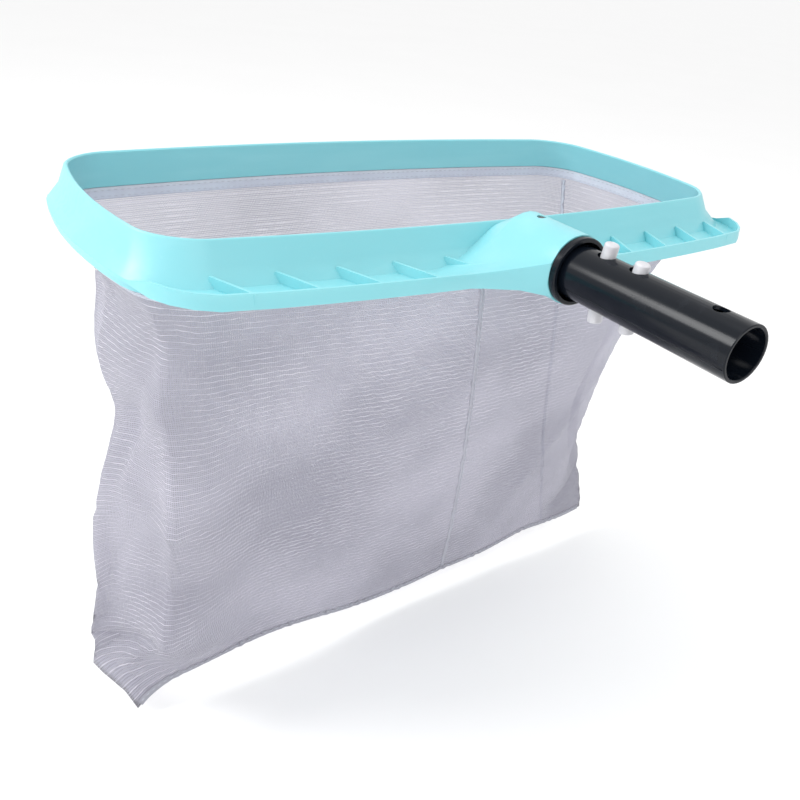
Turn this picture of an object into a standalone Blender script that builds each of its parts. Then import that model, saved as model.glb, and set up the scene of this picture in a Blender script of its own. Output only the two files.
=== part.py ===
"""Leaf skimmer net: a moulded rim with a deep mesh bag, and a tube handle that plugs into a pole.

Lengths below are millimetres. The origin is the centre of the handle tube's open end, the tube
runs along +Y to the rim, and +Z points up out of the net's mouth. Rim outlines are measured
from the rim's centre, which lies RIM_CENTRE_Y along the tube's axis.
"""

import math

import bmesh
import bpy
from mathutils import Matrix, Vector

MM = 0.001
GAP = 0.3
TOOL_LEAD = 1.0
SHARP_ANGLE = math.radians(35)

# Rim moulding: heights
RIM_CENTRE_Y = 263.2
RIM_TOP = 9.7
RIM_WAIST = -2.0
CHANNEL_FLOOR = -9.9
LIP_TOP = -4.2
RIM_BASE = -12.0

# Rim moulding: outlines, as half width, front depth, back depth, corner radius and the bows
# of the short sides, the front and the back
TOP_OUTLINE = (201.1, 83.7, 83.7, 25.0, 10.8, 12.7, 12.7)
FOOT_OUTLINE = (210.0, 96.3, 87.0, 27.0, 13.0, 12.5, 12.5)
LIP_OUTLINE = (209.4, 118.8, 60.0, 30.9, 6.1, 15.8, 8.0)
WAIST_SHARE = 0.38
TOP_WALL = 2.3
BASE_WALL = 6.0
TOP_ROUND = 0.7
LIP_WALL = 2.2
LIP_DRAFT = 0.8
LEAST_LEDGE = 0.25
LEAST_FLOOR_SHARE = 0.4
LEAST_LIP_SHARE = 0.7
LIP_RISE_REACH = 9.0

# Points along each long side, each short side and each corner
LONG_POINTS = 14
SHORT_POINTS = 8
CORNER_POINTS = 6

# Ribs across the front channel
RIB_FIRST = 49.0
RIB_SPACING = 33.0
RIBS_PER_SIDE = 5
RIB_THICK = 1.7
RIB_LEAN = 11.0
RIB_TOP_WALL = -4.6
RIB_TOP_TOE = -4.5
RIB_BITE = 4.0
RIB_SINK = 0.6

# Hub that holds the handle
HUB_RADIUS = 19.4
HUB_MOUTH_Y = 109.6
HUB_CREST_Y = 151.7
BORE_RADIUS = 17.4
BORE_END_Y = 150.5
# Sections from the mouth to the rim: y, half width, height and rise of the fairing's edge
HUB_SECTIONS = (
    (HUB_MOUTH_Y, 18.5, 5.6, 3.2),
    (118.8, 28.0, 1.0, 3.6),
    (127.0, 46.0, -2.9, 3.0),
    (134.0, 68.0, -5.6, 2.0),
    (HUB_CREST_Y, 74.0, -11.2, 1.0),
)
HUB_BASE = RIM_BASE + 0.25
HUB_REAR_WIDTH = 58.0
HUB_REAR_CROWN = 8.6
HUB_REAR_SLOPE = 0.5
HUB_REAR_SETBACK = 3.4
HUB_MOUTH_BASE = -6.0
HUB_SUNK_EDGE = -11.3
HUB_CREST_STEP = 1.6
HUB_CREST_DROP = 1.2
HUB_CREST_NARROWING = 3.0
HUB_EDGE_RISE = 1.0
HUB_ARC_STEP = 15
HUB_ARC_POINTS = 4
HUB_UNDER_START = -45
SKIRT_START = 0.28
SKIRT_END = 0.45
SKIRT_POINTS = 6
BORE_SIDES = 40
BORE_LEAD = 3.0

# Handle: tube, sleeve that lines the hub, lock screw
TUBE_RADIUS = 14.5
TUBE_BORE = 12.7
TUBE_LENGTH = 148.0
POLE_HOLE_Y = 18.7
POLE_HOLE_RADIUS = 4.1
SLEEVE_RADIUS = 17.1
SLEEVE_BORE = 14.8
SLEEVE_END_Y = 149.6
COLLAR_RADIUS = 18.7
COLLAR_FRONT_Y = 105.4
COLLAR_RECESS = 16.5
RECESS_END_Y = 118.0
LOCK_Y = 141.6
LOCK_HEAD_RADIUS = 2.4
LOCK_SHANK_RADIUS = 1.3
LOCK_HEAD_Z = (17.45, 18.9)
LOCK_TIP_Z = 10.5
LOCK_HOLE_Z = (12.0, 24.0)
LOCK_HOLE_SIDES = 16
LOCK_SIDES = 12
LOCK_EDGE = 0.4
TUBE_EDGE = 0.4
TUBE_SIDES = 36
COLLAR_EDGE = 0.6
THROUGH_REACH = 20.0
HOLE_SIDES = 20

# Spring clip inside the tube: two arms that share a bend, each with two pins
CLIP_PIVOT_Y = 30.0
CLIP_TILT = math.radians(7.2)
ARM_START = 0.8
ARM_END = 67.5
ARM_INNER = 0.9
ARM_THICK = 2.0
ARM_WIDTH = 9.0
PIN_RADIUS = 3.9
PIN_TIP = 14.0
PIN_STATIONS = (38.9, 60.7)
PIN_SLOT_SHIFT = 0.2
PIN_SLOT_HALF_LENGTH = 5.1
PIN_SLOT_HALF_WIDTH = 4.35
PIN_ROOT = 0.6
PIN_CROWN = ((-0.9, 0.0), (-0.3, -0.4), (0.0, -1.1))
ARM_END_TAPER = 1.5
ARM_END_TRIM = 0.7
BEND_STEPS = 10
BEND_STRETCH = 1.4

# Net: hem band, retainers that clamp it, their screws
HEM_THICK = 1.0
HEM_BOTTOM = -20.0
RETAINER_WIDTH = 4.0
RETAINER_BOTTOM = -15.2
SCREW_HEAD_RADIUS = 1.9
SCREW_HEAD_HEIGHT = 1.3
SCREW_SHANK_RADIUS = 0.9
SCREW_LENGTH = 5.5
SCREW_HOLE_RADIUS = 1.25
SCREW_HEAD_EDGE = 0.6
SCREW_SIDES = 10
SCREW_HOLE_SIDES = 8
FRONT_SCREWS = (-165.0, -90.0, 90.0, 165.0)
BACK_SCREWS = (-165.0, -82.0, 0.0, 82.0, 165.0)
SIDE_SCREWS = (-42.0, 42.0)

# Bag: the seam along its bottom runs between these two corners, measured from the rim's centre
SEAM_LEFT = Vector((-216.0, -56.0, -313.0))
SEAM_RIGHT = Vector((209.0, -31.0, -297.0))
BAG_TOP = HEM_BOTTOM - GAP
CLOTH_THICK = 1.2
PANEL_ROWS = (0.0, 0.33, 0.66, 0.965)
SEAM_MARGIN = 0.006
SIDE_SPREAD = 0.012
SIDE_OFFSET = 2.5
SEAM_ENDS = (0.01, 0.99)
SEAM_SECTIONS = 9
SEAM_START = 0.975
SEAM_THICK = 2.6
EDGE_INSET = 2.0

TEAL = (0.27, 0.72, 0.76, 1.0)
WHITE_NYLON = (0.80, 0.78, 0.82, 1.0)
BLACK_PLASTIC = (0.018, 0.020, 0.024, 1.0)
MESH_CLOTH = (0.50, 0.49, 0.60, 1.0)
HEM_BLUE = (0.62, 0.75, 0.85, 1.0)
STEEL = (0.55, 0.55, 0.56, 1.0)


def clear_scene():
    for obj in list(bpy.data.objects):
        bpy.data.objects.remove(obj, do_unlink=True)


def plain_material(name, colour, roughness, metallic=0.0):
    material = bpy.data.materials.new(name)
    material.use_nodes = True
    shader = material.node_tree.nodes["Principled BSDF"]
    shader.inputs["Base Color"].default_value = colour
    shader.inputs["Roughness"].default_value = roughness
    shader.inputs["Metallic"].default_value = metallic
    return material


def object_from_bmesh(name, bm, material=None):
    bmesh.ops.recalc_face_normals(bm, faces=bm.faces)
    mesh = bpy.data.meshes.new(name)
    bm.to_mesh(mesh)
    bm.free()
    obj = bpy.data.objects.new(name, mesh)
    bpy.context.collection.objects.link(obj)
    if material:
        mesh.materials.append(material)
        mesh.shade_smooth()
        mesh.set_sharp_from_angle(angle=SHARP_ANGLE)
    return obj


def add_loft(bm, rings, wrap=False):
    """Skin equal closed rings of points, given in mm; the ends are capped unless they wrap."""
    loops = [[bm.verts.new(Vector(p) * MM) for p in ring] for ring in rings]
    pairs = list(zip(loops, loops[1:]))
    if wrap:
        pairs.append((loops[-1], loops[0]))
    for low, high in pairs:
        for i in range(len(low)):
            j = (i + 1) % len(low)
            bm.faces.new((low[i], low[j], high[j], high[i]))
    if not wrap:
        bm.faces.new(loops[0])
        bm.faces.new(reversed(loops[-1]))


def loft(name, rings, material=None, wrap=False):
    bm = bmesh.new()
    add_loft(bm, rings, wrap)
    return object_from_bmesh(name, bm, material)


def circle(radius, y, sides):
    """Ring of points about the tube's axis."""
    turns = (2 * math.pi * i / sides for i in range(sides))
    return [(radius * math.cos(a), y, radius * math.sin(a)) for a in turns]


def upright_circle(radius, z, sides, centre_x, centre_y, stretch_y=1.0):
    """Ring of points about an axis along Z."""
    turns = (2 * math.pi * (i + 0.5) / sides for i in range(sides))
    return [(centre_x + radius * math.cos(a), centre_y + stretch_y * radius * math.sin(a), z)
            for a in turns]


def as_tool(obj):
    obj.hide_render = True
    obj.display_type = "WIRE"
    return obj


def boolean(obj, tool, operation):
    modifier = obj.modifiers.new(operation.title() + " " + tool.name, "BOOLEAN")
    modifier.operation = operation
    modifier.solver = "EXACT"
    modifier.object = as_tool(tool)


# ---------------------------------------------------------------- rim outlines

def outline(shape, inset=0.0):
    """Points of a rounded rectangle whose sides bow outwards, counter-clockwise from the right."""
    half_x, front, back, radius, bow_side, bow_front, bow_back = shape
    half_x, front, back, radius = half_x - inset, front - inset, back - inset, radius - inset
    corners = ((half_x, back, 0), (-half_x, back, 90), (-half_x, -front, 180), (half_x, -front, 270))
    sides = (LONG_POINTS, SHORT_POINTS, LONG_POINTS, SHORT_POINTS)
    arcs = []
    for x, y, start in corners:
        centre = (x - math.copysign(radius, x), y - math.copysign(radius, y))
        turns = [math.radians(start + 90 * i / CORNER_POINTS) for i in range(CORNER_POINTS + 1)]
        arcs.append([(centre[0] + radius * math.cos(a), centre[1] + radius * math.sin(a))
                     for a in turns])
    points = []
    for arc, following, count in zip(arcs, arcs[1:] + arcs[:1], sides):
        points += arc
        (x0, y0), (x1, y1) = arc[-1], following[0]
        steps = (i / count for i in range(1, count))
        points += [(x0 + (x1 - x0) * s, y0 + (y1 - y0) * s) for s in steps]
    bowed = []
    for x, y in points:
        depth, bow = (front, bow_front) if y < 0 else (back, bow_back)
        bowed.append((x * (1 + bow_side / half_x * (1 - (y / depth) ** 2)),
                      y * (1 + bow / depth * (1 - (x / half_x) ** 2))))
    return bowed


def at_height(points, z):
    return [(x, y + RIM_CENTRE_Y, z) for x, y in points]


def between(low, high, share):
    return [(x0 + (x1 - x0) * share, y0 + (y1 - y0) * share)
            for (x0, y0), (x1, y1) in zip(low, high)]


def outward_normals(points):
    normals = []
    for i in range(len(points)):
        ahead, behind = Vector(points[(i + 1) % len(points)]), Vector(points[i - 1])
        along = (ahead - behind).normalized()
        normals.append(Vector((along.y, -along.x)))
    return normals


def reach_to(point, direction, target):
    """Distance from a point to a closed outline along a direction, or zero if it misses."""
    best = 0.0
    for i, (x0, y0) in enumerate(target):
        x1, y1 = target[(i + 1) % len(target)]
        edge = Vector((x1 - x0, y1 - y0))
        across = direction.cross(edge)
        if abs(across) < 1e-9:
            continue
        offset = Vector((x0 - point.x, y0 - point.y))
        distance = offset.cross(edge) / across
        share = offset.cross(direction) / across
        if distance > 0 and 0 <= share <= 1:
            best = max(best, distance)
    return best


def flange_reaches():
    """How far the front flange stands out of the wall's foot at each point of the rim."""
    foot, lip = outline(FOOT_OUTLINE), outline(LIP_OUTLINE)
    reaches = []
    for point, normal in zip(foot, outward_normals(foot)):
        reach = reach_to(Vector(point), normal, lip) if point[1] < 0 else 0.0
        reaches.append(max(reach, LEAST_LEDGE))
    return reaches


def pushed_out(points, distances):
    return [(x + n.x * d, y + n.y * d)
            for (x, y), n, d in zip(points, outward_normals(points), distances)]


# ---------------------------------------------------------------- rim moulding

def rim_rings():
    """Cross-section of the rim, ring by ring: inner wall, rounded top, outer wall, channel, lip."""
    top, foot = outline(TOP_OUTLINE), outline(FOOT_OUTLINE)
    top_inner = outline(TOP_OUTLINE, TOP_WALL)
    foot_inner = outline(FOOT_OUTLINE, BASE_WALL)
    reaches = flange_reaches()
    floor = [max(r - LIP_WALL, LEAST_FLOOR_SHARE * r) for r in reaches]
    lip_top = [max(r - LIP_DRAFT, LEAST_LIP_SHARE * r) for r in reaches]
    rises = [min(r / LIP_RISE_REACH, 1.0) for r in reaches]
    rises = [share * share * (3 - 2 * share) for share in rises]
    heights = [CHANNEL_FLOOR + (LIP_TOP - CHANNEL_FLOOR) * share for share in rises]
    channel_edge = pushed_out(foot, floor)
    lip_edge = pushed_out(foot, lip_top)
    return [
        at_height(foot_inner, RIM_BASE),
        at_height(top_inner, RIM_TOP - TOP_ROUND),
        at_height(outline(TOP_OUTLINE, TOP_WALL - TOP_ROUND), RIM_TOP),
        at_height(outline(TOP_OUTLINE, TOP_ROUND), RIM_TOP),
        at_height(top, RIM_TOP - TOP_ROUND),
        at_height(between(top, foot, WAIST_SHARE), RIM_WAIST),
        at_height(foot, CHANNEL_FLOOR),
        at_height(channel_edge, CHANNEL_FLOOR),
        [(x, y + RIM_CENTRE_Y, z) for (x, y), z in zip(channel_edge, heights)],
        [(x, y + RIM_CENTRE_Y, z) for (x, y), z in zip(lip_edge, heights)],
        at_height(pushed_out(foot, reaches), RIM_BASE),
    ]


def front_y(shape, x):
    """Where an outline's front side crosses x, measured from the rim's centre."""
    half_x, front, bow_front = shape[0], shape[1], shape[5]
    return -(front + bow_front * (1 - (x / half_x) ** 2))


def rib_tool():
    """Thin webs from the wall to the lip, which lean towards the hub."""
    bm = bmesh.new()
    for side in (-1, 1):
        for i in range(RIBS_PER_SIDE):
            x = side * (RIB_FIRST + RIB_SPACING * i)
            toe_x = x - side * RIB_LEAN
            wall_y = front_y(FOOT_OUTLINE, x) + RIB_BITE + RIM_CENTRE_Y
            toe_y = front_y(LIP_OUTLINE, toe_x) + LIP_WALL / 2 + RIM_CENTRE_Y
            across = Vector((wall_y - toe_y, toe_x - x, 0)).normalized() * RIB_THICK / 2
            low = CHANNEL_FLOOR - RIB_SINK
            profile = [Vector((x, wall_y, low)), Vector((x, wall_y, RIB_TOP_WALL)),
                       Vector((toe_x, toe_y, RIB_TOP_TOE)), Vector((toe_x, toe_y, low))]
            add_loft(bm, [[p - across for p in profile], [p + across for p in profile]])
    return object_from_bmesh("rib_tool", bm)


def bezier(p0, p1, p2, p3, count):
    """Points of a cubic after its start, up to and including its end."""
    points = []
    for i in range(1, count + 1):
        t = i / count
        s = 1 - t
        weights = (s * s * s, 3 * s * s * t, 3 * s * t * t, t * t * t)
        points.append(tuple(sum(w * p[k] for w, p in zip(weights, (p0, p1, p2, p3))) for k in (0, 1)))
    return points


def hub_half(width, edge_z, rise, crown, bottom, base_z):
    """Right half of a hub section, from the crown down to the bottom, as (x, z) points."""
    squash = crown / HUB_RADIUS
    arc = [math.radians(90 - HUB_ARC_STEP * i) for i in range(HUB_ARC_POINTS)]
    top = [(HUB_RADIUS * math.cos(a), squash * HUB_RADIUS * math.sin(a)) for a in arc]
    x0, z0 = top[-1]
    step = SKIRT_START * (width - x0)
    skirt = bezier((x0, z0), (x0 + step, z0 - step * squash),
                   (width - SKIRT_END * (width - x0), edge_z + rise), (width, edge_z), SKIRT_POINTS)
    under = [math.radians(HUB_UNDER_START - HUB_ARC_STEP * i) for i in range(HUB_ARC_POINTS)]
    sink = bottom / -HUB_RADIUS
    low = [(HUB_RADIUS * math.cos(a), min(sink * HUB_RADIUS * math.sin(a), base_z)) for a in under]
    return top + skirt + [(width, base_z)] + low


def hub_ring(y, half, slope=0.0):
    left = [(-x, z) for x, z in reversed(half[1:-1])]
    return [(x, y + slope * (z - RIM_BASE), z) for x, z in half + left]


def hub_tool():
    """Fairing that grows out of the rim's front and closes to a round mouth about the tube."""
    rings = []
    for y, width, edge_z, rise in HUB_SECTIONS:
        base_z = HUB_BASE if y > HUB_MOUTH_Y else HUB_MOUTH_BASE
        rings.append(hub_ring(y, hub_half(width, edge_z, rise, HUB_RADIUS, -HUB_RADIUS, base_z)))
    shallow = hub_half(HUB_SECTIONS[-1][1] - HUB_CREST_NARROWING, HUB_SUNK_EDGE, HUB_EDGE_RISE,
                       HUB_RADIUS - HUB_CREST_DROP, HUB_BASE, HUB_BASE)
    rings.append(hub_ring(HUB_CREST_Y + HUB_CREST_STEP, shallow))
    rear = hub_half(HUB_REAR_WIDTH, HUB_SUNK_EDGE, HUB_EDGE_RISE, HUB_REAR_CROWN, HUB_BASE, HUB_BASE)
    rear_y = RIM_CENTRE_Y - FOOT_OUTLINE[1] - FOOT_OUTLINE[5] + HUB_REAR_SETBACK
    rings.append(hub_ring(rear_y, rear, HUB_REAR_SLOPE))
    return loft("hub_tool", rings)


def screw_places():
    """Retainer screws as (name, x, y), measured from the rim's centre, on the middle of the foot."""
    middle = HEM_THICK + GAP + RETAINER_WIDTH / 2
    shape = tuple(v - (BASE_WALL - middle) if i < 4 else v for i, v in enumerate(FOOT_OUTLINE))
    half_x, front, back, _, bow_side, bow_front, bow_back = shape
    places = [("front", x, -front - bow_front * (1 - (x / half_x) ** 2)) for x in FRONT_SCREWS]
    places += [("back", x, back + bow_back * (1 - (x / half_x) ** 2)) for x in BACK_SCREWS]
    for name, side in (("left", -1), ("right", 1)):
        for y in SIDE_SCREWS:
            depth = front if y < 0 else back
            places.append((name, side * (half_x + bow_side * (1 - (y / depth) ** 2)), y))
    return places


def screw_hole_tool(radius, z_low, z_high):
    bm = bmesh.new()
    for _, x, y in screw_places():
        rings = [upright_circle(radius, z, SCREW_HOLE_SIDES, x, y + RIM_CENTRE_Y)
                 for z in (z_low, z_high)]
        add_loft(bm, rings)
    return object_from_bmesh("screw_hole_tool", bm)


def make_rim(material):
    rim = loft("net_frame", rim_rings(), material, wrap=True)
    boolean(rim, rib_tool(), "UNION")
    boolean(rim, hub_tool(), "UNION")
    bore_ends = (HUB_MOUTH_Y - BORE_LEAD, BORE_END_Y)
    bore = loft("bore_tool", [circle(BORE_RADIUS, y, BORE_SIDES) for y in bore_ends])
    boolean(rim, bore, "DIFFERENCE")
    lock = [upright_circle(LOCK_HEAD_RADIUS + GAP, z, LOCK_HOLE_SIDES, 0, LOCK_Y) for z in LOCK_HOLE_Z]
    boolean(rim, loft("lock_hole_tool", lock), "DIFFERENCE")
    screw_end = RETAINER_BOTTOM + SCREW_LENGTH
    holes = screw_hole_tool(SCREW_HOLE_RADIUS, RIM_BASE - TOOL_LEAD, screw_end + TOOL_LEAD)
    boolean(rim, holes, "DIFFERENCE")


# ---------------------------------------------------------------- handle

def through_tool(name, radius, y, sides, z_low, z_high, stretch=1.0):
    rings = [upright_circle(radius, z, sides, 0, y, stretch) for z in (z_low, z_high)]
    return loft(name, rings)


def pin_y(station):
    """Where a pin's axis crosses the tube's wall."""
    wall = (TUBE_RADIUS + TUBE_BORE) / 2
    climb = (wall - station * math.sin(CLIP_TILT)) / math.cos(CLIP_TILT)
    return CLIP_PIVOT_Y + station * math.cos(CLIP_TILT) - climb * math.sin(CLIP_TILT)


def make_tube(material):
    rings = [circle(TUBE_RADIUS - TUBE_EDGE, 0, TUBE_SIDES), circle(TUBE_RADIUS, TUBE_EDGE, TUBE_SIDES),
             circle(TUBE_RADIUS, TUBE_LENGTH, TUBE_SIDES), circle(TUBE_BORE, TUBE_LENGTH, TUBE_SIDES),
             circle(TUBE_BORE, TUBE_EDGE, TUBE_SIDES), circle(TUBE_BORE + TUBE_EDGE, 0, TUBE_SIDES)]
    tube = loft("handle_tube", rings, material, wrap=True)
    hole = through_tool("pole_hole_tool", POLE_HOLE_RADIUS, POLE_HOLE_Y, HOLE_SIDES, -THROUGH_REACH,
                        THROUGH_REACH)
    boolean(tube, hole, "DIFFERENCE")
    for i, station in enumerate(PIN_STATIONS):
        centre = pin_y(station) + PIN_SLOT_SHIFT + PIN_SLOT_HALF_LENGTH - PIN_SLOT_HALF_WIDTH
        slot = through_tool("pin_slot_tool_" + str(i + 1), PIN_SLOT_HALF_WIDTH, centre, HOLE_SIDES,
                            -THROUGH_REACH, THROUGH_REACH, PIN_SLOT_HALF_LENGTH / PIN_SLOT_HALF_WIDTH)
        boolean(tube, slot, "DIFFERENCE")
    lock = through_tool("tube_lock_tool", LOCK_SHANK_RADIUS + GAP, LOCK_Y, LOCK_SIDES, TUBE_BORE / 2,
                        THROUGH_REACH)
    boolean(tube, lock, "DIFFERENCE")


def make_sleeve(material):
    """Liner pressed into the hub: its collar stands proud, and the pole's end enters its recess."""
    profile = ((COLLAR_RADIUS - COLLAR_EDGE, COLLAR_FRONT_Y), (COLLAR_RADIUS, COLLAR_FRONT_Y + COLLAR_EDGE),
               (COLLAR_RADIUS, HUB_MOUTH_Y - GAP), (SLEEVE_RADIUS, HUB_MOUTH_Y - GAP),
               (SLEEVE_RADIUS, SLEEVE_END_Y), (SLEEVE_BORE, SLEEVE_END_Y),
               (SLEEVE_BORE, RECESS_END_Y), (COLLAR_RECESS, RECESS_END_Y),
               (COLLAR_RECESS, COLLAR_FRONT_Y))
    rings = [circle(r, y, BORE_SIDES) for r, y in profile]
    sleeve = loft("hub_sleeve", rings, material, wrap=True)
    lock = through_tool("sleeve_lock_tool", LOCK_SHANK_RADIUS + GAP, LOCK_Y, LOCK_SIDES, TUBE_BORE / 2,
                        THROUGH_REACH + COLLAR_EDGE)
    boolean(sleeve, lock, "DIFFERENCE")


def turned_upright(name, profile, x, y, sides, material):
    """Solid turned about an upright axis, from (radius, z) points."""
    return loft(name, [upright_circle(r, z, sides, x, y) for r, z in profile], material)


def make_lock_screw(material):
    low, high = LOCK_HEAD_Z
    profile = ((LOCK_SHANK_RADIUS, LOCK_TIP_Z), (LOCK_SHANK_RADIUS, low), (LOCK_HEAD_RADIUS, low),
               (LOCK_HEAD_RADIUS, high - LOCK_EDGE), (LOCK_HEAD_RADIUS - LOCK_EDGE, high))
    turned_upright("handle_lock_screw", profile, 0, LOCK_Y, LOCK_SIDES, material)


def tilted(u, v, x, side):
    """Point in a clip arm's own frame: u along the arm, v towards its pins."""
    z = u * math.sin(CLIP_TILT) + v * math.cos(CLIP_TILT)
    y = u * math.cos(CLIP_TILT) - v * math.sin(CLIP_TILT)
    return Vector((x, CLIP_PIVOT_Y + y, side * z))


def make_clip_arm(name, side, material):
    """One arm of the spring clip with its two pins; its origin is on the bend it flexes about."""
    half = ARM_WIDTH / 2
    outer = ARM_INNER + ARM_THICK
    ends = []
    for u, trim in ((ARM_START, 0.0), (ARM_END - ARM_END_TAPER, 0.0), (ARM_END, ARM_END_TRIM)):
        ends.append([tilted(u, ARM_INNER + trim, -half + trim, side),
                     tilted(u, ARM_INNER + trim, half - trim, side),
                     tilted(u, outer - trim, half - trim, side),
                     tilted(u, outer - trim, -half + trim, side)])
    arm = loft(name, ends, material)
    turns = [2 * math.pi * k / HOLE_SIDES for k in range(HOLE_SIDES)]
    profile = [(outer - PIN_ROOT, PIN_RADIUS)]
    profile += [(PIN_TIP + dv, PIN_RADIUS + dr) for dv, dr in PIN_CROWN]
    for i, station in enumerate(PIN_STATIONS):
        rings = []
        for v, radius in profile:
            rings.append([tilted(station + radius * math.cos(a), v, radius * math.sin(a), side)
                          for a in turns])
        boolean(arm, loft(name + "_pin_tool_" + str(i + 1), rings), "UNION")
    pivot = Vector((0, CLIP_PIVOT_Y, 0)) * MM
    for part in [arm] + [m.object for m in arm.modifiers]:
        part.data.transform(Matrix.Translation(-pivot))
        part.location = pivot


def make_clip_bend(material):
    """Folded end that joins the clip's two arms."""
    half = ARM_WIDTH / 2
    outer = ARM_INNER + ARM_THICK
    rings = []
    turns = [math.radians(90 + 180 * i / BEND_STEPS) for i in range(BEND_STEPS + 1)]
    for a in turns:
        c, s = math.cos(a), math.sin(a)
        ring = []
        for radius, x in ((ARM_INNER, -half), (outer, -half), (outer, half), (ARM_INNER, half)):
            ring.append((x, CLIP_PIVOT_Y - GAP + radius * c * BEND_STRETCH, radius * s))
        rings.append(ring)
    loft("clip_bend", rings, material)


# ---------------------------------------------------------------- net

def strip(loops, first, count):
    """A run of consecutive rim points out of each closed loop."""
    return [[loop[(first + i) % len(loop)] for i in range(count)] for loop in loops]


def make_hem(material):
    outer, inner = outline(FOOT_OUTLINE, BASE_WALL - HEM_THICK), outline(FOOT_OUTLINE, BASE_WALL)
    top = RIM_BASE - GAP
    rings = [at_height(inner, HEM_BOTTOM), at_height(inner, top), at_height(outer, top),
             at_height(outer, HEM_BOTTOM)]
    loft("hem_band", rings, material, wrap=True)


def make_retainers(material):
    inset = BASE_WALL - HEM_THICK - GAP
    inner, outer = outline(FOOT_OUTLINE, inset), outline(FOOT_OUTLINE, inset - RETAINER_WIDTH)
    top = RIM_BASE - GAP
    loops = [at_height(inner, RETAINER_BOTTOM), at_height(outer, RETAINER_BOTTOM),
             at_height(outer, top), at_height(inner, top)]
    corner, total = CORNER_POINTS, len(inner)
    back_first = corner
    left_first = back_first + LONG_POINTS
    front_first = left_first + 2 * corner + SHORT_POINTS
    right_first = front_first + LONG_POINTS
    runs = (("back_retainer", back_first, LONG_POINTS + 1),
            ("left_retainer", left_first, 2 * corner + SHORT_POINTS + 1),
            ("front_retainer", front_first, LONG_POINTS + 1),
            ("right_retainer", right_first % total, 2 * corner + SHORT_POINTS + 1))
    retainers = []
    for name, first, count in runs:
        rails = strip(loops, first, count)
        trimmed = [trim_ends(rail) for rail in rails]
        sections = [list(section) for section in zip(*trimmed)]
        retainers.append(loft(name, sections, material))
    tool = screw_hole_tool(SCREW_HOLE_RADIUS, RETAINER_BOTTOM - TOOL_LEAD, RIM_BASE + TOOL_LEAD)
    tool.name = "retainer_hole_tool"
    for retainer in retainers:
        boolean(retainer, tool, "DIFFERENCE")


def trim_ends(rail):
    """Shorten a rail by half a gap at both ends, so that neighbours don't touch."""
    points = [Vector(p) for p in rail]
    points[0] += (points[1] - points[0]).normalized() * GAP
    points[-1] += (points[-2] - points[-1]).normalized() * GAP
    return points


def make_retainer_screws(material):
    head = RETAINER_BOTTOM - GAP
    profile = ((SCREW_HEAD_RADIUS - SCREW_HEAD_EDGE, head - SCREW_HEAD_HEIGHT),
               (SCREW_HEAD_RADIUS, head - SCREW_HEAD_HEIGHT + SCREW_HEAD_EDGE),
               (SCREW_HEAD_RADIUS, head), (SCREW_SHANK_RADIUS, head),
               (SCREW_SHANK_RADIUS, head + SCREW_LENGTH))
    counts = {}
    for side, x, y in screw_places():
        counts[side] = counts.get(side, 0) + 1
        name = side + "_screw_" + str(counts[side])
        turned_upright(name, profile, x, y + RIM_CENTRE_Y, SCREW_SIDES, material)


def seam_point(share):
    return SEAM_LEFT.lerp(SEAM_RIGHT, share)


def bag_corners():
    """The four points of the rim where the bag's panels meet, left front first."""
    half_corner = CORNER_POINTS // 2
    back_right = half_corner
    back_left = back_right + CORNER_POINTS + LONG_POINTS
    front_left = back_left + CORNER_POINTS + SHORT_POINTS
    front_right = front_left + CORNER_POINTS + LONG_POINTS
    return front_left, front_right, back_right, back_left


def rim_run(loop, first, last):
    count = (last - first) % len(loop)
    return [Vector((*loop[(first + i) % len(loop)], BAG_TOP)) for i in range(count + 1)]


def inset_run(points, distance):
    """Drop a stretch at both ends of a run of points."""
    out = [p.copy() for p in points]
    out[0] += (out[1] - out[0]).normalized() * distance
    out[-1] += (out[-2] - out[-1]).normalized() * distance
    return out


def make_panel(name, rim_points, seam_points, material):
    """Sheet of even thickness between a run of the rim and a run of the bottom seam."""
    bm = bmesh.new()
    lift = Vector((0, RIM_CENTRE_Y, 0))
    rows = []
    for share in PANEL_ROWS:
        row = [bm.verts.new((top.lerp(low, share) + lift) * MM)
               for top, low in zip(rim_points, seam_points)]
        rows.append(row)
    for upper, lower in zip(rows, rows[1:]):
        for i in range(len(upper) - 1):
            bm.faces.new((upper[i], lower[i], lower[i + 1], upper[i + 1]))
    mesh = bpy.data.meshes.new(name)
    bm.to_mesh(mesh)
    bm.free()
    mesh.materials.append(material)
    panel = bpy.data.objects.new(name, mesh)
    bpy.context.collection.objects.link(panel)
    sheet = panel.modifiers.new("Thickness", "SOLIDIFY")
    sheet.thickness = CLOTH_THICK * MM
    sheet.offset = -1.0


def make_bag(material):
    loop = outline(FOOT_OUTLINE, BASE_WALL - HEM_THICK / 2)
    front_left, front_right, back_right, back_left = bag_corners()
    walls = (("bag_front_panel", front_left, front_right, SEAM_MARGIN, 1 - SEAM_MARGIN),
             ("bag_right_panel", front_right, back_right, 1.0, 1.0),
             ("bag_back_panel", back_right, back_left, 1 - SEAM_MARGIN, SEAM_MARGIN),
             ("bag_left_panel", back_left, front_left, 0.0, 0.0))
    for name, first, last, start, end in walls:
        top = inset_run(rim_run(loop, first, last), EDGE_INSET)
        shares = [start + (end - start) * i / (len(top) - 1) for i in range(len(top))]
        low = [seam_point(s) for s in shares]
        if start == end:
            outward = -1 if start == 0 else 1
            spread = [SIDE_SPREAD * (p - top[len(top) // 2]) for p in top]
            low = [p + Vector((outward * SIDE_OFFSET, s.y, 0)) for p, s in zip(low, spread)]
        make_panel(name, top, low, material)


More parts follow.
